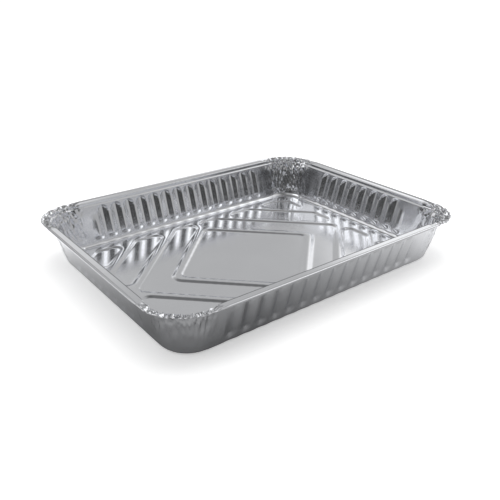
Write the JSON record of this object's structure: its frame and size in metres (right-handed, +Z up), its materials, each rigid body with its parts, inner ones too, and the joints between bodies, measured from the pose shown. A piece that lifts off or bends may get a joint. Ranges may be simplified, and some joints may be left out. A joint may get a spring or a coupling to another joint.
{
  "type": "foil tray",
  "caption": "Oblong pressed foil roasting tray with fluted sloping walls, a flat rim with a curled edge, gathered corners and a floor with raised ribs.",
  "frame": {"origin": "on the table plane under the middle of the tray", "axes": "+X along the long sides, +Y along the short sides, +Z up out of the open top"},
  "size_m": [0.32, 0.25, 0.043],
  "materials": {
    "foil": "bright pressed aluminium foil, slightly rough"
  },
  "bodies": {
    "root": {"foil_tray": "foil"}
  },
  "joints": []
}
